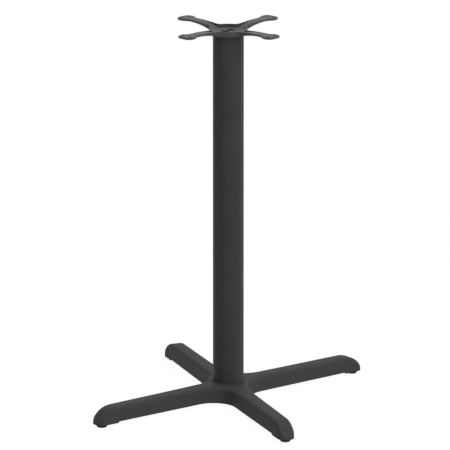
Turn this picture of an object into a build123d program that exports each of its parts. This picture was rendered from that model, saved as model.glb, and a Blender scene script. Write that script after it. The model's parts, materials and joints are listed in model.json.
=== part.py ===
from build123d import *
import math
import os

# Table base with a cast cross foot, a tube column and a cast top spider. Millimetres, +Z up, floor at Z = 0.
# The row axes lie along the spider: its four arms point at 45 degrees to X and Y.
# The cross foot stands turned under it, with its long side nearest to Y.

# Whole object
overall_height = 1030.0
glide_spacing_short = 505.0
glide_spacing_long = 689.0
base_turn = -16.5

# Column tube
column_diameter = 82.5
column_wall = 2.0

# Cross base casting
hub_height = 54.5
hub_roof = 10.0
leg_root_width = 54.0
leg_toe_width = 46.0
leg_root_drop = 0.4
leg_root_radius = 115.0
leg_fall = 1.4
leg_wall = 5.5
leg_draft = 2.5
leg_edge_radius = 9.0
narrow_crotch_low_radius = 62.0
narrow_crotch_high_radius = 60.0
wide_crotch_low_radius = 110.0
wide_crotch_high_radius = 105.0
crotch_headroom = 6.0
toe_overhang = 22.0
toe_length = 60.0
toe_step = 3.5
toe_step_run = 3.0
toe_corner_radius = 19.0
nose_length = 62.0
nose_lip = 4.5
nose_steepness = 1.9
seat_rim = 6.0
seat_depth = 2.0
seat_clearance = 0.5
rod_boss_diameter = 38.0
rod_boss_depth = 8.0
glide_hole_depth = 24.0

# Locating spigots inside the column's ends
spigot_height = 10.0
spigot_wall = 5.0
spigot_clearance = 0.3

# Top spider casting
spider_depth = 21.0
spider_seat_rim = 4.0
rim_overhang = 10.0
rim_drop = 5.0
dish_depth = 11.0
dish_radius = 42.0
dish_rib_length = 22.0
dish_rib_width = 3.0
dish_rib_height = 2.5
dish_rib_offset = 14.0
spider_wall = 4.5
arm_width = 29.0
arm_hub_fillet = 16.0
arm_top_radius = 122.0
arm_floor_radius = 114.0
arm_under_radius = 128.0
paddle_width = 48.0
paddle_length = 36.0
paddle_thickness = 5.5
paddle_corner_radius = 15.0
paddle_neck_radius = 24.0
paddle_margin = 14.0
hole_radius_from_axis = 160.0
hole_pair_spacing = 26.0
top_hole_diameter = 7.0
spider_edge_radius = 1.2
spider_boss_diameter = 30.0
spider_boss_depth = 14.0

# Tie rod and its fastenings
rod_diameter = 12.0
rod_hole_clearance = 0.5
rod_thread_clearance = 0.05
rod_recess = 8.0
rod_projection = 3.0
nut_across_flats = 18.0
nut_height = 10.8
nut_chamfer_angle = 30.0
washer_bore_clearance = 0.3
base_washer_diameter = 30.0
base_washer_thickness = 2.5
lock_washer_diameter = 21.0
lock_washer_thickness = 2.5
lock_washer_split = 2.0

# Levelling glides
glide_diameter = 28.5
glide_height = 9.0
glide_lower_radius = 4.5
glide_upper_radius = 1.0
stud_diameter = 8.0
stud_length = 20.0
stud_hole_clearance = 0.1
stud_head_diameter = 15.0
stud_head_thickness = 3.0
stud_head_cover = 3.0
stud_head_clearance = 0.1

# Limits that tell edges and faces apart
tolerance = 0.01
upright_rise = 0.9
drafted_face = 0.15
upright_face = 0.02

# Places that follow from the sizes above
glide_radius = math.hypot(glide_spacing_short, glide_spacing_long) / 2
leg_half_angle = math.degrees(math.atan2(glide_spacing_long, glide_spacing_short))
leg_angles = [leg_half_angle, 180 - leg_half_angle, 180 + leg_half_angle, 360 - leg_half_angle]
arm_angles = [45, 135, 225, 315]
toe_radius = glide_radius + toe_overhang
sole_z = glide_height
lip_z = sole_z + nose_lip
leg_edge_z = sole_z + toe_step
column_radius = column_diameter / 2
column_bore_radius = column_radius - column_wall
spigot_radius = column_bore_radius - spigot_clearance
seat_z = hub_height - seat_depth
seat_edge_radius = column_radius + seat_rim
hub_roof_z = hub_height - hub_roof
rod_boss_z = hub_roof_z - rod_boss_depth
shoulder_radius = toe_radius - nose_length
shoulder_z = hub_height - leg_fall
shoulder_slope = (leg_fall - leg_root_drop) / (shoulder_radius - leg_root_radius)
spider_seat_z = overall_height - spider_depth
spider_hub_radius = column_radius + rim_overhang
dish_z = overall_height - dish_depth
rod_hole_radius = rod_diameter / 2 + rod_hole_clearance
rod_thread_radius = rod_diameter / 2 + rod_thread_clearance
washer_bore_radius = rod_diameter / 2 + washer_bore_clearance
stud_head_z = glide_height - stud_head_cover - stud_head_thickness

from_below = (Align.CENTER, Align.CENTER, Align.MIN)


def post(radius, low, high):
    """Solid cylinder on the Z axis between two heights."""
    return Pos(0, 0, low) * Cylinder(radius, high - low, align=from_below)


def tube(outer_radius, inner_radius, low, high):
    """Ring on the Z axis between two heights."""
    return post(outer_radius, low, high) - post(inner_radius, low, high)


def turned(*lines):
    """Solid of revolution about Z from joined lines in (radius, height)."""
    return revolve(make_face(Plane.XZ * (Curve() + list(lines))), Axis.Z)


def level_out(start, end):
    """Curve in (radius, height) that leaves its start at twice the mean slope and is level at its end."""
    slope = 2 * (end[1] - start[1]) / (end[0] - start[0])
    return Spline(start, end, tangents=[(1, slope), (1, 0)])


def long_edges(body, steepest):
    """Edges round the body's faces that are nearly upright, without the upright edges between them."""
    found = []
    for face in body.faces():
        if abs(face.normal_at(face.center()).Z) < steepest:
            for edge in face.edges():
                rise = abs((edge @ 1).Z - (edge @ 0).Z)
                if rise < edge.length * upright_rise:
                    found.append(edge)
    return ShapeList(found)


def cross_outline(inset, narrow_radius, wide_radius):
    """Plan of the cross, drawn inside its lower outer edge by the inset, with the given crotch radii."""
    reach = toe_radius - inset
    root = leg_root_width / 2 - inset
    toe = leg_toe_width / 2 - inset
    bar = Polygon(
        (reach, toe), (0, root), (-reach, toe), (-reach, -toe), (0, -root), (reach, -toe), align=None
    )
    plan = Rot(0, 0, leg_half_angle) * bar + Rot(0, 0, -leg_half_angle) * bar
    inner = plan.vertices().filter_by(lambda v: math.hypot(v.X, v.Y) < reach / 2)
    plan = fillet(inner.filter_by(lambda v: abs(v.X) < abs(v.Y)), narrow_radius)
    inner = plan.vertices().filter_by(lambda v: abs(v.Y) < tolerance)
    plan = fillet(inner, wide_radius)
    corners = plan.vertices().filter_by(lambda v: math.hypot(v.X, v.Y) > reach)
    return fillet(corners, toe_corner_radius - inset)


def cross_prism(inset):
    """Solid on the cross's plan, with drafted sides and crotches that lean in towards the hub's top."""
    height = hub_height + crotch_headroom
    lean = height * math.tan(math.radians(leg_draft))
    low = cross_outline(inset, narrow_crotch_low_radius + inset, wide_crotch_low_radius + inset)
    high = cross_outline(inset + lean, narrow_crotch_high_radius + inset, wide_crotch_high_radius + inset)
    return loft([low.face(), (Pos(0, 0, height) * high).face()], ruled=True)


def nose_curve(drop):
    """Curve in (radius, height) over a toe's nose, from its shoulder to its lip, lowered by the drop."""
    return Spline(
        (shoulder_radius, shoulder_z - drop),
        (toe_radius, lip_z - drop),
        tangents=[(1, -shoulder_slope), (1, -nose_steepness)],
    )


def cross_envelope():
    """Solid of revolution with the hub's top, the falling leg tops and the rounded noses."""
    nose_end = toe_radius + lip_z / nose_steepness
    hub_line = Polyline((0, 0), (0, hub_height), (seat_edge_radius, hub_height))
    leg_line = Spline(
        (seat_edge_radius, hub_height),
        (leg_root_radius, hub_height - leg_root_drop),
        (shoulder_radius, shoulder_z),
        tangents=[(1, 0), (1, -shoulder_slope)],
    )
    foot_line = Polyline((toe_radius, lip_z), (nose_end, 0), (0, 0))
    return turned(hub_line, leg_line, nose_curve(0), foot_line)


def cross_cavity():
    """Hollow under the legs and hub, closed at each toe by the boss of its glide."""
    room = turned(
        Polyline(
            (0, 0), (0, hub_roof_z), (seat_edge_radius, hub_roof_z), (shoulder_radius, shoulder_z - leg_wall),
        ),
        nose_curve(leg_wall),
        Polyline((toe_radius, lip_z - leg_wall), (toe_radius, 0), (0, 0)),
    )
    hollow = cross_prism(leg_wall) & room & post(glide_radius, 0, hub_height)
    boss_radius = leg_toe_width / 2 - leg_wall / 2
    for angle in leg_angles:
        hollow -= Rot(0, 0, angle) * Pos(glide_radius, 0, 0) * post(boss_radius, 0, hub_height)
    return hollow


def cross_base():
    """Cast cross base: hollow legs, rounded top edges, toes for the glides and the column's seat."""
    body = cross_prism(0) & cross_envelope()
    step_radius = toe_radius - toe_length
    beyond = toe_radius + toe_length
    body -= turned(
        Polyline(
            (0, 0), (0, leg_edge_z), (step_radius - toe_step_run, leg_edge_z), (step_radius, sole_z),
            (beyond, sole_z), (beyond, 0), (0, 0),
        )
    )
    upper_edges = long_edges(body, drafted_face).filter_by(lambda e: e.center().Z > leg_edge_z + tolerance)
    body = fillet(upper_edges, leg_edge_radius)
    body -= cross_cavity()
    body += post(rod_boss_diameter / 2, rod_boss_z, hub_roof_z)
    body -= tube(column_radius + seat_clearance, spigot_radius, seat_z, hub_height)
    body += tube(spigot_radius, spigot_radius - spigot_wall, seat_z, hub_height + spigot_height)
    body -= post(rod_hole_radius, 0, hub_height + spigot_height)
    hole = post(stud_diameter / 2 + stud_hole_clearance, 0, sole_z + glide_hole_depth)
    for angle in leg_angles:
        body -= Rot(0, 0, angle) * Pos(glide_radius, 0, 0) * hole
    return Rot(0, 0, base_turn) * body


def column():
    """Round tube from the cross base to the spider."""
    return tube(column_radius, column_bore_radius, seat_z, spider_seat_z)


def spider_outline():
    """Plan of the spider: a round hub and four arms that widen into paddles."""
    paddle_end = hole_radius_from_axis + paddle_margin
    paddle_mid = paddle_end - paddle_length / 2
    paddle = Pos(paddle_mid, 0) * RectangleRounded(paddle_length, paddle_width, paddle_corner_radius)
    arm = Pos(paddle_mid / 2, 0) * Rectangle(paddle_mid, arm_width)
    limb = paddle + arm
    necks = limb.vertices().filter_by(
        lambda v: abs(abs(v.Y) - arm_width / 2) < tolerance and spider_hub_radius < v.X < paddle_mid
    )
    limb = fillet(necks, paddle_neck_radius)
    plan = Sketch() + Circle(spider_hub_radius) + [Rot(0, 0, angle) * limb for angle in arm_angles]
    roots = plan.vertices().filter_by(lambda v: abs(math.hypot(v.X, v.Y) - spider_hub_radius) < tolerance)
    return fillet(roots, arm_hub_fillet)


def spider_envelope():
    """Solid of revolution between the spider's rising underside and its rising upper edges."""
    beyond = hole_radius_from_axis + paddle_width
    paddle_z = overall_height - paddle_thickness
    seat_rim_radius = column_radius + spider_seat_rim
    rim_start = (dish_radius, overall_height - rim_drop)
    underside = level_out((seat_rim_radius, spider_seat_z), (arm_under_radius, paddle_z))
    upper_line = level_out(rim_start, (arm_top_radius, overall_height))
    return turned(
        Polyline((0, rim_start[1]), (0, spider_seat_z), (seat_rim_radius, spider_seat_z)),
        underside,
        Polyline(
            (arm_under_radius, paddle_z), (beyond, paddle_z), (beyond, overall_height),
            (arm_top_radius, overall_height),
        ),
        upper_line,
        Line(rim_start, (0, rim_start[1])),
    )


def spider_trough():
    """Dish in the hub and the channels that rise along the arms."""
    sky = overall_height + spider_depth
    inner = extrude(offset(spider_outline(), -spider_wall), amount=sky)
    room = turned(
        Polyline((0, sky), (0, dish_z), (dish_radius, dish_z)),
        level_out((dish_radius, dish_z), (arm_floor_radius, overall_height)),
        Polyline((arm_floor_radius, overall_height), (arm_floor_radius, sky), (0, sky)),
    )
    return inner & room


def top_spider():
    """Cast top spider: dished hub, channelled arms, drilled paddles and the column's spigot."""
    body = extrude(spider_outline(), amount=overall_height + spider_depth) & spider_envelope()
    body = fillet(long_edges(body, upright_face), spider_edge_radius)
    body -= spider_trough()
    for side in (-1, 1):
        rib = Box(dish_rib_length, dish_rib_width, dish_rib_height, align=from_below)
        body += Rot(0, 0, arm_angles[-1]) * Pos(0, side * dish_rib_offset, dish_z) * rib
    body += tube(spigot_radius, spigot_radius - spigot_wall, spider_seat_z - spigot_height, spider_seat_z)
    body += post(spider_boss_diameter / 2, spider_seat_z - spider_boss_depth, spider_seat_z)
    body -= post(rod_thread_radius, spider_seat_z - spider_boss_depth, overall_height)
    for angle in arm_angles:
        for side in (-1, 1):
            place = Rot(0, 0, angle) * Pos(hole_radius_from_axis, side * hole_pair_spacing / 2, 0)
            body -= place * post(top_hole_diameter / 2, spider_seat_z, overall_height)
    return body


def hex_nut(low):
    """Hexagon nut with its lower face at the given height and chamfered corners."""
    high = low + nut_height
    flat = nut_across_flats / 2
    corner = nut_across_flats / math.sqrt(3)
    chamfer_drop = (corner - flat) * math.tan(math.radians(nut_chamfer_angle))
    nut = Pos(0, 0, low) * extrude(RegularPolygon(corner, 6), amount=nut_height)
    nut &= turned(
        Polyline(
            (0, low), (flat, low), (corner, low + chamfer_drop), (corner, high - chamfer_drop),
            (flat, high), (0, high), (0, low),
        )
    )
    return nut - post(rod_thread_radius, low, high)


def flat_washer(low):
    """Plain round washer under the hub."""
    return tube(base_washer_diameter / 2, washer_bore_radius, low, low + base_washer_thickness)


def lock_washer(low):
    """Split spring washer."""
    ring = tube(lock_washer_diameter / 2, washer_bore_radius, low, low + lock_washer_thickness)
    gap = Box(
        lock_washer_diameter, lock_washer_split, lock_washer_thickness,
        align=(Align.MIN, Align.CENTER, Align.MIN),
    )
    return ring - Pos(0, 0, low) * gap


def glide_stud():
    """Stud of a glide, with its round head inside the pad."""
    stud = post(stud_diameter / 2, stud_head_z, glide_height + stud_length)
    return stud + post(stud_head_diameter / 2, stud_head_z, stud_head_z + stud_head_thickness)


def glide_pad():
    """Moulded pad of a glide, closed round the stud's head."""
    pad = post(glide_diameter / 2, 0, glide_height)
    pad = fillet(pad.edges().group_by(Axis.Z)[0], glide_lower_radius)
    pad = fillet(pad.edges().group_by(Axis.Z)[-1], glide_upper_radius)
    pocket_radius = stud_head_diameter / 2 + stud_head_clearance
    pad -= post(pocket_radius, stud_head_z, stud_head_z + stud_head_thickness)
    return pad - post(stud_diameter / 2 + stud_head_clearance, stud_head_z, glide_height)


def write(name, shape):
    """Write one solid to its own STEP file."""
    export_step(shape, os.path.join("parts", name + ".step"))


def main():
    """Build every piece and write it."""
    os.makedirs("parts", exist_ok=True)
    base_washer_z = rod_boss_z - base_washer_thickness
    lock_washer_z = base_washer_z - lock_washer_thickness
    nut_z = lock_washer_z - nut_height
    write("cross_base", cross_base())
    write("column", column())
    write("top_spider", top_spider())
    write("tie_rod", post(rod_diameter / 2, nut_z - rod_projection, dish_z - rod_recess))
    write("base_washer", flat_washer(base_washer_z))
    write("base_lock_washer", lock_washer(lock_washer_z))
    write("base_nut", hex_nut(nut_z))
    for number, angle in enumerate(leg_angles, start=1):
        place = Rot(0, 0, base_turn + angle) * Pos(glide_radius, 0, 0)
        write(f"glide_stud_{number}", place * glide_stud())
        write(f"glide_pad_{number}", place * glide_pad())


if __name__ == "__main__":
    main()
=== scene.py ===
"""Looks of a bar-height table base: coated castings, a tube column, plated fastenings and screw glides."""

from __future__ import annotations

import json
import logging
import math
from dataclasses import dataclass
from enum import Enum

import bpy
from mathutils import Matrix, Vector

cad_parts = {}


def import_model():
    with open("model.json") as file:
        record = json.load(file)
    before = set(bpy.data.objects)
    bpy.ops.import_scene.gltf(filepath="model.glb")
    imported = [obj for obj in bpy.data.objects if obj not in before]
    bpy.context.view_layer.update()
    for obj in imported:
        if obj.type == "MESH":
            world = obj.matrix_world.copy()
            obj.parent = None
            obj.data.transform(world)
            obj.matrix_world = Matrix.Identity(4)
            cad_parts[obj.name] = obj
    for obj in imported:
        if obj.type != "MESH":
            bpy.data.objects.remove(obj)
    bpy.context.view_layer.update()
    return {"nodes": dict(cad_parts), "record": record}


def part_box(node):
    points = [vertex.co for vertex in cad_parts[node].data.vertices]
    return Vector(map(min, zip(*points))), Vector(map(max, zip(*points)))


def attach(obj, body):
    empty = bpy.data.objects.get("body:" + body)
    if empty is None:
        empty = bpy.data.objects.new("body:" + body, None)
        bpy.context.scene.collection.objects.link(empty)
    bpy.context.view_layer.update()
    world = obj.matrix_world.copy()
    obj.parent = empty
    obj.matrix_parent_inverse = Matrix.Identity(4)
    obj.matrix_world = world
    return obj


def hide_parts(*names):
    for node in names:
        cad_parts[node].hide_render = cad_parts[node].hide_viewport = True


MM = 0.001
IMAGE_SIDE = 450
SENSOR_WIDTH = 36.0
WHITE = "ffffff"
MATH = "ShaderNodeMath"
NOISE = "ShaderNodeTexNoise"
# Noise seldom leaves this range, so colours and roughness are spread over it.
NOISE_LOW = 0.3
NOISE_HIGH = 0.7
# Clouds of colour get clearer edges from a narrower range.
CLOUD_LOW = 0.35
CLOUD_HIGH = 0.65
# A Mix node holds the sockets of every data type, so they are told apart by place.
MIX_SHARE = 0
MIX_NUMBER_A = 2
MIX_NUMBER_B = 3
MIX_COLOUR_A = 6
MIX_COLOUR_B = 7
MIX_COLOUR_OUT = 2
LOG = logging.getLogger("table_base")

Point = tuple[float, float, float]
Nodes = dict[str, bpy.types.Object]


def linear(hex_colour: str) -> tuple[float, float, float, float]:
    """Turn an sRGB hex colour into linear RGBA, by the curve of the sRGB standard.

    Args:
        hex_colour: six hex digits.

    Returns:
        Red, green, blue and an alpha of one.
    """
    shares = [int(hex_colour[place:place + 2], 16) / 255 for place in (0, 2, 4)]
    red, green, blue = [s / 12.92 if s <= 0.04045 else ((s + 0.055) / 1.055) ** 2.4 for s in shares]
    return red, green, blue, 1.0


def add_node(
    tree: bpy.types.NodeTree, kind: str, inputs: dict | None = None, **settings: object,
) -> bpy.types.Node:
    """Add a node to a tree, set its options and fill or link its inputs.

    Args:
        tree: the node tree that gets the node.
        kind: the node's type name.
        inputs: input name or place to a value, an output socket, or a node whose first output feeds it.
        settings: options of the node itself.

    Returns:
        The new node.
    """
    node = tree.nodes.new(kind)
    for name, value in settings.items():
        setattr(node, name, value)
    for key, value in (inputs or {}).items():
        if isinstance(value, bpy.types.Node):
            value = value.outputs[0]
        if isinstance(value, bpy.types.NodeSocket):
            tree.links.new(value, node.inputs[key])
        else:
            node.inputs[key].default_value = value
    return node


def new_material(name: str) -> bpy.types.Material:
    """Make an empty node material.

    Args:
        name: the material's name.

    Returns:
        The material, without any node.
    """
    made = bpy.data.materials.new(name)
    made.use_nodes = True
    made.node_tree.nodes.clear()
    return made


class Slot(Enum):
    """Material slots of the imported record."""

    IRON = "coated_iron"
    TUBE = "coated_tube"
    STEEL = "plated_steel"
    PLASTIC = "glide_plastic"


def dress(node: bpy.types.Object, finish: bpy.types.Material, slot: Slot) -> None:
    """Put a finish on a piece that keeps the shape of its CAD node, and report it.

    Args:
        node: the piece.
        finish: its material.
        slot: the record's slot for pieces of that material.
    """
    node.data.materials[0] = finish
    LOG.info("%s: %s, slot %s", node.name, finish.name, slot.value)


@dataclass(frozen=True)
class BoreShade:
    """Painted shade in the spider's holes: the walls of each hole and a narrow rim round it get a nearly
    black, fully rough colour.

    Lengths are in metres, and the rims are in millimetres.
    """

    tapped_radius: float
    screw_near: float
    screw_far: float
    screw_radius: float
    # Painted shade: the nearly black colour given to the hole walls and to a rim round each hole.
    colour: str = "060607"
    tapped_rim_mm: float = 1.5
    screw_rim_mm: float = 1.4

    @classmethod
    def of_spider(cls, record: dict) -> BoreShade:
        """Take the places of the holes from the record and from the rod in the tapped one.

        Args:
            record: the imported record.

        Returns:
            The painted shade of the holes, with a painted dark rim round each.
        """
        holes = next(mount["dims"] for mount in record["mounts"] if mount["name"] == "top_holes_a")
        low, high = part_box("tie_rod")
        return cls(
            tapped_radius=(high[0] - low[0]) / 2 + cls.tapped_rim_mm * MM,
            screw_near=holes["spacing_x_mm"] / 2 * MM,
            screw_far=holes["spacing_y_mm"] / 2 * MM,
            screw_radius=(holes["hole_r_mm"] + cls.screw_rim_mm) * MM,
        )

    def mask(self, tree: bpy.types.NodeTree, place: bpy.types.NodeSocket) -> bpy.types.Node:
        """Mark where the painted shade goes: each hole and its rim. The screw holes of all four paddles fold
        onto one by their mirror planes.

        Args:
            tree: the material's node tree.
            place: Object coordinates.

        Returns:
            A node that gives one where the painted shade goes and zero elsewhere.
        """
        apart = add_node(tree, "ShaderNodeSeparateXYZ", {0: place}).outputs
        across = add_node(tree, MATH, {0: apart["X"]}, operation="ABSOLUTE")
        along = add_node(tree, MATH, {0: apart["Y"]}, operation="ABSOLUTE")
        near = add_node(tree, MATH, {0: across, 1: along}, operation="MINIMUM")
        far = add_node(tree, MATH, {0: across, 1: along}, operation="MAXIMUM")
        folded = add_node(tree, "ShaderNodeCombineXYZ", {"X": near, "Y": far})
        screw = (self.screw_near, self.screw_far, 0)
        from_screw = add_node(
            tree, "ShaderNodeVectorMath", {0: folded, 1: screw}, operation="DISTANCE",
        ).outputs["Value"]
        from_axis = add_node(tree, "ShaderNodeVectorMath", {0: folded}, operation="LENGTH").outputs["Value"]
        in_screw = add_node(tree, MATH, {0: from_screw, 1: self.screw_radius}, operation="LESS_THAN")
        in_tapped = add_node(tree, MATH, {0: from_axis, 1: self.tapped_radius}, operation="LESS_THAN")
        return add_node(tree, MATH, {0: in_screw, 1: in_tapped}, operation="MAXIMUM")


@dataclass(frozen=True)
class PowderCoat:
    """Baked black powder coat: a matt skin with orange peel, over the sand grain of the metal below.

    It gives the eye a soft, even sheen with a slight speckle, paler on a level face seen at a low angle.
    The real peel and grain are a few tenths of a millimetre wide. They are drawn coarser, so that they show.
    Lengths are widths and heights of a pattern in millimetres.
    """

    name: str
    colour_low: str
    colour_high: str
    roughness_low: float
    roughness_high: float
    specular: float
    mottle_mm: float
    peel_mm: float
    peel_height_mm: float
    grain_mm: float
    grain_height_mm: float
    mottle_detail: float = 3.0
    mottle_decay: float = 0.55
    peel_detail: float = 1.5
    peel_decay: float = 0.5
    grain_detail: float = 2.0
    grain_decay: float = 0.6
    ior: float = 1.5

    def material(self, bore_shade: BoreShade | None = None) -> bpy.types.Material:
        """Build the material from noise in Object coordinates.

        Args:
            bore_shade: the painted shade of the holes and their rims, if the piece has any.

        Returns:
            The finished material.
        """
        made = new_material(self.name)
        tree = made.node_tree
        place = add_node(tree, "ShaderNodeTexCoord").outputs["Object"]
        mottle = add_node(
            tree, NOISE,
            {
                "Vector": place, "Scale": 1 / (self.mottle_mm * MM),
                "Detail": self.mottle_detail, "Roughness": self.mottle_decay,
            },
        ).outputs["Fac"]
        peel = add_node(
            tree, NOISE,
            {
                "Vector": place, "Scale": 1 / (self.peel_mm * MM),
                "Detail": self.peel_detail, "Roughness": self.peel_decay,
            },
        ).outputs["Fac"]
        grain = add_node(
            tree, NOISE,
            {
                "Vector": place, "Scale": 1 / (self.grain_mm * MM),
                "Detail": self.grain_detail, "Roughness": self.grain_decay,
            },
        ).outputs["Fac"]
        ramp = add_node(tree, "ShaderNodeValToRGB", {"Fac": mottle})
        low, high = ramp.color_ramp.elements
        low.position, low.color = NOISE_LOW, linear(self.colour_low)
        high.position, high.color = NOISE_HIGH, linear(self.colour_high)
        rough = add_node(
            tree, "ShaderNodeMapRange",
            {
                "Value": grain, "From Min": NOISE_LOW, "From Max": NOISE_HIGH,
                "To Min": self.roughness_low, "To Max": self.roughness_high,
            },
        )
        colour = ramp.outputs["Color"]
        # Painted shade: inside the holes and on their rims the colour turns nearly black and the roughness
        # goes to full.
        if bore_shade:
            in_bore_shade = bore_shade.mask(tree, place)
            colour = add_node(
                tree, "ShaderNodeMix",
                {MIX_SHARE: in_bore_shade, MIX_COLOUR_A: colour, MIX_COLOUR_B: linear(bore_shade.colour)}, data_type="RGBA",
            ).outputs[MIX_COLOUR_OUT]
            rough = add_node(tree, MATH, {0: rough, 1: in_bore_shade}, operation="MAXIMUM")
        waves = add_node(
            tree, "ShaderNodeBump", {"Height": peel, "Strength": 1.0, "Distance": self.peel_height_mm * MM},
        )
        relief = add_node(
            tree, "ShaderNodeBump",
            {"Height": grain, "Strength": 1.0, "Distance": self.grain_height_mm * MM, "Normal": waves},
        )
        skin = add_node(
            tree, "ShaderNodeBsdfPrincipled",
            {
                "Base Color": colour, "Roughness": rough, "Normal": relief, "IOR": self.ior,
                "Specular IOR Level": self.specular,
            },
        )
        add_node(tree, "ShaderNodeOutputMaterial", {"Surface": skin})
        return made


@dataclass(frozen=True)
class ZincPlate:
    """Bright zinc plate on turned steel: a pale metal with cloudy patches and fine scratches.

    It gives the eye a soft glint that breaks up in small flecks. The real scratches are about a tenth of a
    millimetre wide. They are drawn coarser, so that they show. Lengths are in millimetres.
    """

    name: str = "zinc_plated_steel"
    colour_low: str = "a9abad"
    colour_high: str = "c6c7c4"
    cloud_mm: float = 9.0
    cloud_detail: float = 4.0
    cloud_decay: float = 0.6
    scratch_mm: float = 0.8
    scratch_detail: float = 2.0
    scratch_bend: float = 0.6
    scratch_height_mm: float = 0.02
    roughness_low: float = 0.26
    roughness_high: float = 0.44

    def material(self) -> bpy.types.Material:
        """Build the material from clouds and scratches in Object coordinates.

        Returns:
            The finished material.
        """
        made = new_material(self.name)
        tree = made.node_tree
        place = add_node(tree, "ShaderNodeTexCoord").outputs["Object"]
        clouds = add_node(
            tree, NOISE,
            {
                "Vector": place, "Scale": 1 / (self.cloud_mm * MM),
                "Detail": self.cloud_detail, "Roughness": self.cloud_decay,
            },
        ).outputs["Fac"]
        scratches = add_node(
            tree, NOISE,
            {
                "Vector": place, "Scale": 1 / (self.scratch_mm * MM),
                "Detail": self.scratch_detail, "Distortion": self.scratch_bend,
            },
        ).outputs["Fac"]
        ramp = add_node(tree, "ShaderNodeValToRGB", {"Fac": clouds})
        low, high = ramp.color_ramp.elements
        low.position, low.color = CLOUD_LOW, linear(self.colour_low)
        high.position, high.color = CLOUD_HIGH, linear(self.colour_high)
        rough = add_node(
            tree, "ShaderNodeMapRange",
            {
                "Value": clouds, "From Min": NOISE_LOW, "From Max": NOISE_HIGH,
                "To Min": self.roughness_low, "To Max": self.roughness_high,
            },
        )
        relief = add_node(
            tree, "ShaderNodeBump",
            {"Height": scratches, "Strength": 1.0, "Distance": self.scratch_height_mm * MM},
        )
        skin = add_node(
            tree, "ShaderNodeBsdfPrincipled",
            {"Base Color": ramp, "Metallic": 1.0, "Roughness": rough, "Normal": relief},
        )
        add_node(tree, "ShaderNodeOutputMaterial", {"Surface": skin})
        return made


@dataclass(frozen=True)
class MouldedPlastic:
    """Moulded black polypropylene: a dull skin with the spark grain of its mould.

    It gives the eye a deep black without a clear glint. The real grain is about a tenth of a millimetre wide.
    It is drawn coarser, so that it shows. Lengths are in millimetres.
    """

    name: str = "moulded_polypropylene"
    colour_low: str = "0e0e0f"
    colour_high: str = "151516"
    cloud_mm: float = 12.0
    cloud_detail: float = 2.0
    grain_mm: float = 1.2
    grain_height_mm: float = 0.03
    roughness_low: float = 0.5
    roughness_high: float = 0.65
    specular: float = 0.2
    ior: float = 1.49

    def material(self) -> bpy.types.Material:
        """Build the material from clouds and mould grain in Object coordinates.

        Returns:
            The finished material.
        """
        made = new_material(self.name)
        tree = made.node_tree
        place = add_node(tree, "ShaderNodeTexCoord").outputs["Object"]
        clouds = add_node(
            tree, NOISE, {"Vector": place, "Scale": 1 / (self.cloud_mm * MM), "Detail": self.cloud_detail},
        ).outputs["Fac"]
        grain = add_node(
            tree, "ShaderNodeTexVoronoi", {"Vector": place, "Scale": 1 / (self.grain_mm * MM)},
            feature="SMOOTH_F1",
        ).outputs["Distance"]
        ramp = add_node(tree, "ShaderNodeValToRGB", {"Fac": clouds})
        low, high = ramp.color_ramp.elements
        low.position, low.color = CLOUD_LOW, linear(self.colour_low)
        high.position, high.color = CLOUD_HIGH, linear(self.colour_high)
        rough = add_node(
            tree, "ShaderNodeMapRange",
            {"Value": clouds, "To Min": self.roughness_low, "To Max": self.roughness_high},
        )
        relief = add_node(
            tree, "ShaderNodeBump", {"Height": grain, "Strength": 1.0, "Distance": self.grain_height_mm * MM},
        )
        skin = add_node(
            tree, "ShaderNodeBsdfPrincipled",
            {
                "Base Color": ramp, "Roughness": rough, "Normal": relief, "IOR": self.ior,
                "Specular IOR Level": self.specular,
            },
        )
        add_node(tree, "ShaderNodeOutputMaterial", {"Surface": skin})
        return made


@dataclass(frozen=True)
class RodBlank:
    """The plain rod of a CAD node, upright on its foot. Lengths are in metres."""

    foot: Point
    length: float
    radius: float

    @classmethod
    def of_node(cls, node: str) -> RodBlank:
        """Read the rod from the box of its node.

        Args:
            node: the node's name.

        Returns:
            The rod, with the radius of its widest stretch.
        """
        low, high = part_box(node)
        foot = ((low[0] + high[0]) / 2, (low[1] + high[1]) / 2, low[2])
        return cls(foot=foot, length=high[2] - low[2], radius=(high[0] - low[0]) / 2)


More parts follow.
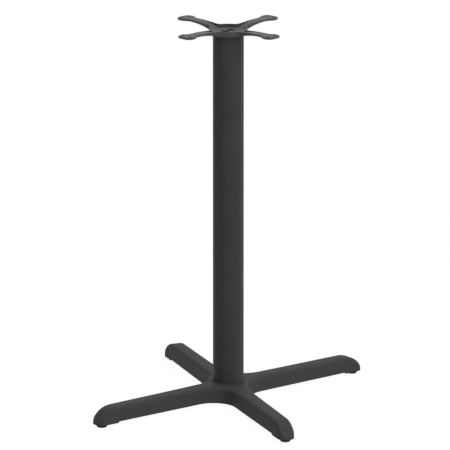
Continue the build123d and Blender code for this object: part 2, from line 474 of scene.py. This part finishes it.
class ThreadedRodTree:
    """Geometry Nodes tree of a round rod with a right-hand thread on each end, with or without a head."""

    NAME = "threaded_rod"
    SIZES = ("Length", "Radius", "Pitch", "Depth", "Thread", "Head Radius", "Head Length")
    RINGS_PER_TURN = 8
    # Share of the pitch that is flat at the crest, and as much again at the root.
    FLAT_SHARE = 0.12
    # A head that ends below the foot takes in no ring.
    NO_HEAD = -1.0

    def __init__(self) -> None:
        """Build the tree."""
        self.tree = bpy.data.node_groups.new(self.NAME, "GeometryNodeTree")
        sockets = self.tree.interface
        sockets.new_socket("Geometry", in_out="OUTPUT", socket_type="NodeSocketGeometry")
        sockets.new_socket("Foot", in_out="INPUT", socket_type="NodeSocketVector")
        for name in self.SIZES:
            sockets.new_socket(name, in_out="INPUT", socket_type="NodeSocketFloat")
        sockets.new_socket("Sides", in_out="INPUT", socket_type="NodeSocketInt")
        sockets.new_socket("Finish", in_out="INPUT", socket_type="NodeSocketMaterial")
        self.sizes = add_node(self.tree, "NodeGroupInput").outputs
        self.fill()

    def ring_height(
        self, share: bpy.types.Node, rings: bpy.types.Node, all_rings: bpy.types.Node,
    ) -> bpy.types.Node:
        """Crowd the rings into the two threads, so that one long ring is left for the plain shank.

        Args:
            share: a ring's share of the length, from zero to one.
            rings: the number of rings in each thread.
            all_rings: the number of rings on the whole rod.

        Returns:
            The ring's height above the foot.
        """
        tree, sizes = self.tree, self.sizes
        ring_length = add_node(tree, MATH, {0: sizes["Thread"], 1: rings}, operation="DIVIDE")
        stretch = add_node(tree, MATH, {0: all_rings, 1: ring_length}, operation="MULTIPLY")
        from_foot = add_node(tree, MATH, {0: share, 1: stretch}, operation="MULTIPLY")
        share_left = add_node(tree, MATH, {0: 1.0, 1: share}, operation="SUBTRACT")
        length_left = add_node(tree, MATH, {0: share_left, 1: stretch}, operation="MULTIPLY")
        from_end = add_node(tree, MATH, {0: sizes["Length"], 1: length_left}, operation="SUBTRACT")
        upper = add_node(tree, MATH, {0: share, 1: 0.5}, operation="GREATER_THAN")
        return add_node(
            tree, "ShaderNodeMix", {MIX_SHARE: upper, MIX_NUMBER_A: from_foot, MIX_NUMBER_B: from_end},
            data_type="FLOAT",
        )

    def thread_cut(self, angle: bpy.types.Node, height: bpy.types.Node) -> bpy.types.Node:
        """Depth of the groove: flat crest, straight flank and flat root, with a chamfer at the free end.

        Args:
            angle: the point's angle round the axis, in turns.
            height: its height above the foot.

        Returns:
            How far the surface lies inside the rod's radius.
        """
        tree, sizes = self.tree, self.sizes
        pitches = add_node(tree, MATH, {0: height, 1: sizes["Pitch"]}, operation="DIVIDE")
        turns = add_node(tree, MATH, {0: pitches, 1: angle}, operation="SUBTRACT")
        within = add_node(tree, MATH, {0: turns}, operation="FRACT")
        ramp = add_node(tree, MATH, {0: within, 1: 2.0, 2: -1.0}, operation="MULTIPLY_ADD")
        flank = add_node(tree, MATH, {0: ramp}, operation="ABSOLUTE")
        groove = add_node(
            tree, "ShaderNodeMapRange",
            {
                "Value": flank, "From Min": self.FLAT_SHARE, "From Max": 1 - self.FLAT_SHARE,
                "To Min": sizes["Depth"], "To Max": 0.0,
            },
        )
        end = add_node(tree, MATH, {0: sizes["Length"], 1: height}, operation="SUBTRACT")
        chamfer = add_node(tree, MATH, {0: sizes["Depth"], 1: end}, operation="SUBTRACT")
        nearest_end = add_node(tree, MATH, {0: height, 1: end}, operation="MINIMUM")
        threaded = add_node(tree, MATH, {0: nearest_end, 1: sizes["Thread"]}, operation="LESS_THAN")
        cut = add_node(tree, MATH, {0: groove, 1: threaded}, operation="MULTIPLY")
        return add_node(tree, MATH, {0: cut, 1: chamfer}, operation="MAXIMUM")

    def fill(self) -> None:
        """Lay out the nodes from a cylinder of unit size to the finished rod."""
        tree, sizes = self.tree, self.sizes
        turns = add_node(tree, MATH, {0: sizes["Thread"], 1: sizes["Pitch"]}, operation="DIVIDE")
        even_rings = add_node(tree, MATH, {0: turns, 1: self.RINGS_PER_TURN}, operation="MULTIPLY")
        rings = add_node(tree, MATH, {0: even_rings}, operation="CEIL")
        all_rings = add_node(tree, MATH, {0: rings, 1: 2.0, 2: 1.0}, operation="MULTIPLY_ADD")
        blank = add_node(
            tree, "GeometryNodeMeshCylinder",
            {"Vertices": sizes["Sides"], "Side Segments": all_rings, "Radius": 1.0, "Depth": 1.0},
            fill_type="NGON",
        )
        position = add_node(tree, "GeometryNodeInputPosition")
        point = add_node(tree, "ShaderNodeSeparateXYZ", {0: position}).outputs
        share = add_node(tree, MATH, {0: point["Z"], 1: 0.5}, operation="ADD")
        height = self.ring_height(share, rings, all_rings)
        radians = add_node(tree, MATH, {0: point["Y"], 1: point["X"]}, operation="ARCTAN2")
        angle = add_node(tree, MATH, {0: radians, 1: 2 * math.pi}, operation="DIVIDE")
        cut = self.thread_cut(angle, height)
        shank = add_node(tree, MATH, {0: sizes["Radius"], 1: cut}, operation="SUBTRACT")
        in_head = add_node(tree, MATH, {0: height, 1: sizes["Head Length"]}, operation="LESS_THAN")
        radius = add_node(
            tree, "ShaderNodeMix",
            {MIX_SHARE: in_head, MIX_NUMBER_A: shank, MIX_NUMBER_B: sizes["Head Radius"]}, data_type="FLOAT",
        )
        across = add_node(tree, MATH, {0: point["X"], 1: radius}, operation="MULTIPLY")
        along = add_node(tree, MATH, {0: point["Y"], 1: radius}, operation="MULTIPLY")
        place = add_node(tree, "ShaderNodeCombineXYZ", {"X": across, "Y": along, "Z": height})
        stood = add_node(tree, "ShaderNodeVectorMath", {0: place, 1: sizes["Foot"]}, operation="ADD")
        smooth = add_node(
            tree, "GeometryNodeSetShadeSmooth", {"Geometry": blank, "Selection": blank.outputs["Side"]},
        )
        shaped = add_node(tree, "GeometryNodeSetPosition", {"Geometry": smooth, "Position": stood})
        real = add_node(tree, "GeometryNodeRealizeInstances", {"Geometry": shaped})
        dressed = add_node(tree, "GeometryNodeSetMaterial", {"Geometry": real, "Material": sizes["Finish"]})
        add_node(tree, "NodeGroupOutput", {"Geometry": dressed})

    def identifier(self, name: str) -> str:
        """Identifier of the input with the given name."""
        sockets = self.tree.interface.items_tree
        return next(s.identifier for s in sockets if s.name == name and s.in_out == "INPUT")

    def mesh_object(self, name: str, inputs: dict[str, object]) -> bpy.types.Object:
        """Run the tree and keep its result as a plain mesh.

        Args:
            name: the new object's name.
            inputs: input name to its value.

        Returns:
            The object, with no modifier left on it.
        """
        carrier = bpy.data.objects.new(name + "_carrier", bpy.data.meshes.new(name + "_carrier"))
        bpy.context.scene.collection.objects.link(carrier)
        modifier = carrier.modifiers.new(self.NAME, "NODES")
        modifier.node_group = self.tree
        for key, value in inputs.items():
            modifier[self.identifier(key)] = value
        shown = carrier.evaluated_get(bpy.context.evaluated_depsgraph_get())
        mesh = bpy.data.meshes.new_from_object(shown)
        mesh.name = name
        carrier.modifiers.remove(modifier)
        bpy.data.objects.remove(carrier)
        made = bpy.data.objects.new(name, mesh)
        bpy.context.scene.collection.objects.link(made)
        return made

    def fit(self, name: str, node: str, body: str, inputs: dict[str, object]) -> None:
        """Make a threaded piece, let it ride on a body in place of a plain node, and report it.

        Args:
            name: the new piece's name.
            node: the node that it replaces.
            body: the body that it rides on.
            inputs: input name to its value.
        """
        made = self.mesh_object(name, inputs)
        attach(made, body)
        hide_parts(node)
        LOG.info("%s: %d faces, slot %s", name, len(made.data.polygons), Slot.STEEL.value)


@dataclass(frozen=True)
class Castings:
    """The two cast pieces and the tube between them, which keep the shapes of their nodes."""

    foot: PowderCoat
    spider: PowderCoat
    tube: PowderCoat

    def build(self, nodes: Nodes, bore_shade: BoreShade) -> None:
        """Coat the cross foot, the column and the top spider.

        Args:
            nodes: the frame's nodes by name.
            bore_shade: the painted shade of the spider's holes.
        """
        dress(nodes["cross_base"], self.foot.material(), Slot.IRON)
        dress(nodes["column"], self.tube.material(), Slot.TUBE)
        # The spider gets painted shade in its holes and on their rims.
        dress(nodes["top_spider"], self.spider.material(bore_shade), Slot.IRON)


@dataclass(frozen=True)
class TieRod:
    """The rod that clamps foot, column and spider, with its fastenings.

    Lengths are in millimetres. The thread's length is that of the thread on each end.
    """

    pitch: float = 1.75
    depth: float = 0.95
    thread: float = 45.0
    sides: int = 40
    fastenings: tuple[str, ...] = ("base_washer", "base_lock_washer", "base_nut")

    def build(self, nodes: Nodes, tree: ThreadedRodTree, steel: bpy.types.Material) -> None:
        """Replace the plain rod by a threaded one and plate its fastenings.

        Args:
            nodes: the frame's nodes by name.
            tree: the tree that cuts the threads.
            steel: the plated finish.
        """
        blank = RodBlank.of_node("tie_rod")
        tree.fit("threaded_tie_rod", "tie_rod", "frame", {
            "Foot": blank.foot, "Length": blank.length, "Radius": blank.radius,
            "Pitch": self.pitch * MM, "Depth": self.depth * MM, "Thread": self.thread * MM,
            "Head Radius": 0.0, "Head Length": tree.NO_HEAD, "Sides": self.sides, "Finish": steel,
        })
        for node in self.fastenings:
            dress(nodes[node], steel, Slot.STEEL)


@dataclass(frozen=True)
class Glides:
    """The four screw glides under the toes. Lengths are in millimetres."""

    pitch: float = 1.25
    depth: float = 0.68
    shank_diameter: float = 8.0
    head_length: float = 3.0
    sides: int = 32
    numbers: tuple[int, ...] = (1, 2, 3, 4)

    def build(
        self, nodes: Nodes, tree: ThreadedRodTree, steel: bpy.types.Material, plastic: bpy.types.Material,
    ) -> None:
        """Replace each plain stud by a threaded one and dress each pad.

        Args:
            nodes: the frame's nodes by name.
            tree: the tree that cuts the threads.
            steel: the plated finish of the studs.
            plastic: the moulded finish of the pads.
        """
        for number in self.numbers:
            node = f"glide_stud_{number}"
            blank = RodBlank.of_node(node)
            tree.fit(f"threaded_stud_{number}", node, f"glide_{number}_stud", {
                "Foot": blank.foot, "Length": blank.length, "Radius": self.shank_diameter / 2 * MM,
                "Pitch": self.pitch * MM, "Depth": self.depth * MM, "Thread": blank.length / 2,
                "Head Radius": blank.radius, "Head Length": self.head_length * MM,
                "Sides": self.sides, "Finish": steel,
            })
            dress(nodes[f"glide_pad_{number}"], plastic, Slot.PLASTIC)


@dataclass(frozen=True)
class SoftBox:
    """A square lamp with a soft white face. Lengths are in metres and the power in watts."""

    name: str
    place: Point
    aim: Point
    side: float
    watts: float

    def build(self) -> None:
        """Hang the lamp and turn it to the point that it lights."""
        data = bpy.data.lights.new(self.name, "AREA")
        data.shape = "SQUARE"
        data.size = self.side
        data.energy = self.watts
        made = bpy.data.objects.new(self.name, data)
        bpy.context.scene.collection.objects.link(made)
        # The gloss shows the even backdrop and no lamp, so the coat looks alike from every side.
        made.visible_glossy = False
        made.location = self.place
        made.rotation_euler = (Vector(self.aim) - Vector(self.place)).to_track_quat("-Z", "Y").to_euler()


@dataclass(frozen=True)
class Studio:
    """White floor, soft lamps and the camera of the picture.

    Lengths are in metres. The glow and the levels are strengths of light, where one is white.
    The floor's share is how much of the glow shows in place of the floor's own grey.
    """

    camera_place: Point = (-0.312, -20.0, 5.737)
    camera_aim: Point = (-0.0089, 0.0, 0.485)
    camera_reach: float = 200.0
    focal_pixels: float = 7737.0
    floor_side: float = 60.0
    floor_colour: str = "8c8c8c"
    floor_glow: float = 1.2
    floor_share: float = 0.8
    room_left: float = 0.23
    room_right: float = 1.15
    backdrop_level: float = 1.0
    lamps: tuple[SoftBox, ...] = (
        SoftBox(name="top_box", place=(0.4, 0.4, 4.0), aim=(0.0, 0.0, 0.5), side=3.0, watts=23.0),
        SoftBox(name="key_box", place=(3.0, -4.4, 3.6), aim=(0.0, 0.0, 0.4), side=4.0, watts=320.0),
    )

    def camera(self) -> None:
        """Stand the camera far back, at the height from which both ends of the base show their tops."""
        data = bpy.data.cameras.new("camera")
        data.sensor_width = SENSOR_WIDTH
        data.lens = SENSOR_WIDTH * self.focal_pixels / IMAGE_SIDE
        data.clip_end = self.camera_reach
        made = bpy.data.objects.new("camera", data)
        bpy.context.scene.collection.objects.link(made)
        made.location = self.camera_place
        look = Vector(self.camera_aim) - Vector(self.camera_place)
        made.rotation_euler = look.to_track_quat("-Z", "Y").to_euler()
        bpy.context.scene.camera = made

    @staticmethod
    def background_rays(tree: bpy.types.NodeTree) -> bpy.types.Node:
        """Tell the rays that see the background: from the camera, off a gloss or through glass.

        Args:
            tree: the node tree of the floor or the world.

        Returns:
            A node that gives one for such a ray and zero for the light on the object.
        """
        rays = add_node(tree, "ShaderNodeLightPath").outputs
        seen = add_node(tree, MATH, {0: rays["Is Camera Ray"], 1: rays["Is Glossy Ray"]}, operation="MAXIMUM")
        return add_node(tree, MATH, {0: seen, 1: rays["Is Transmission Ray"]}, operation="MAXIMUM")

    def floor(self) -> None:
        """Lay the white floor, which keeps a faint shadow of the object."""
        half = self.floor_side / 2
        corners = [(-half, -half, 0), (half, -half, 0), (half, half, 0), (-half, half, 0)]
        mesh = bpy.data.meshes.new("floor")
        mesh.from_pydata(corners, [], [(0, 1, 2, 3)])
        made = bpy.data.objects.new("floor", mesh)
        bpy.context.scene.collection.objects.link(made)
        paint = new_material("white_floor")
        tree = paint.node_tree
        share = add_node(
            tree, MATH, {0: self.background_rays(tree), 1: self.floor_share}, operation="MULTIPLY",
        )
        matt = add_node(tree, "ShaderNodeBsdfDiffuse", {"Color": linear(self.floor_colour)})
        glow = add_node(tree, "ShaderNodeEmission", {"Color": linear(WHITE), "Strength": self.floor_glow})
        mixed = add_node(tree, "ShaderNodeMixShader", {0: share, 1: matt, 2: glow})
        add_node(tree, "ShaderNodeOutputMaterial", {"Surface": mixed})
        mesh.materials.append(paint)

    def world(self) -> None:
        """Fill the room with grey light, stronger from the right, and show a white backdrop."""
        made = bpy.data.worlds.new("room")
        made.use_nodes = True
        tree = made.node_tree
        tree.nodes.clear()
        way = add_node(tree, "ShaderNodeTexCoord").outputs["Generated"]
        across = add_node(tree, "ShaderNodeSeparateXYZ", {0: way}).outputs["X"]
        level = add_node(
            tree, "ShaderNodeMapRange",
            {
                "Value": across, "From Min": -1.0, "From Max": 1.0,
                "To Min": self.room_left, "To Max": self.room_right,
            },
        )
        room = add_node(tree, "ShaderNodeBackground", {"Color": linear(WHITE), "Strength": level})
        backdrop = add_node(
            tree, "ShaderNodeBackground", {"Color": linear(WHITE), "Strength": self.backdrop_level},
        )
        mixed = add_node(tree, "ShaderNodeMixShader", {0: self.background_rays(tree), 1: room, 2: backdrop})
        add_node(tree, "ShaderNodeOutputWorld", {"Surface": mixed})
        bpy.context.scene.world = made

    def build(self) -> None:
        """Set up the whole studio."""
        bpy.context.scene.view_settings.view_transform = "Standard"
        self.camera()
        self.floor()
        self.world()
        for lamp in self.lamps:
            lamp.build()


FOOT_COAT = PowderCoat(
    name="powder_coated_iron", colour_low="2b2b2b", colour_high="363636",
    roughness_low=0.62, roughness_high=0.78, specular=0.22, mottle_mm=4.5,
    peel_mm=7.0, peel_height_mm=0.2, grain_mm=2.2, grain_height_mm=0.24,
)
SPIDER_COAT = PowderCoat(
    name="powder_coated_spider", colour_low="252525", colour_high="303030",
    roughness_low=0.42, roughness_high=0.52, specular=0.45, mottle_mm=4.5,
    peel_mm=6.0, peel_height_mm=0.15, grain_mm=2.4, grain_height_mm=0.08,
)
TUBE_COAT = PowderCoat(
    name="powder_coated_tube", colour_low="2a2a2a", colour_high="2f2f2f",
    roughness_low=0.6, roughness_high=0.68, specular=0.2, mottle_mm=60.0,
    peel_mm=5.0, peel_height_mm=0.05, grain_mm=1.8, grain_height_mm=0.03,
)


def main() -> None:
    """Load the frame, dress it and light it."""
    logging.basicConfig(level=logging.INFO, format="%(name)s: %(message)s")
    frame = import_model()
    nodes = frame["nodes"]
    steel = ZincPlate().material()
    plastic = MouldedPlastic().material()
    tree = ThreadedRodTree()
    castings = Castings(foot=FOOT_COAT, spider=SPIDER_COAT, tube=TUBE_COAT)
    castings.build(nodes, BoreShade.of_spider(frame["record"]))
    TieRod().build(nodes, tree, steel)
    Glides().build(nodes, tree, steel, plastic)
    Studio().build()


if __name__ == "__main__":
    main()
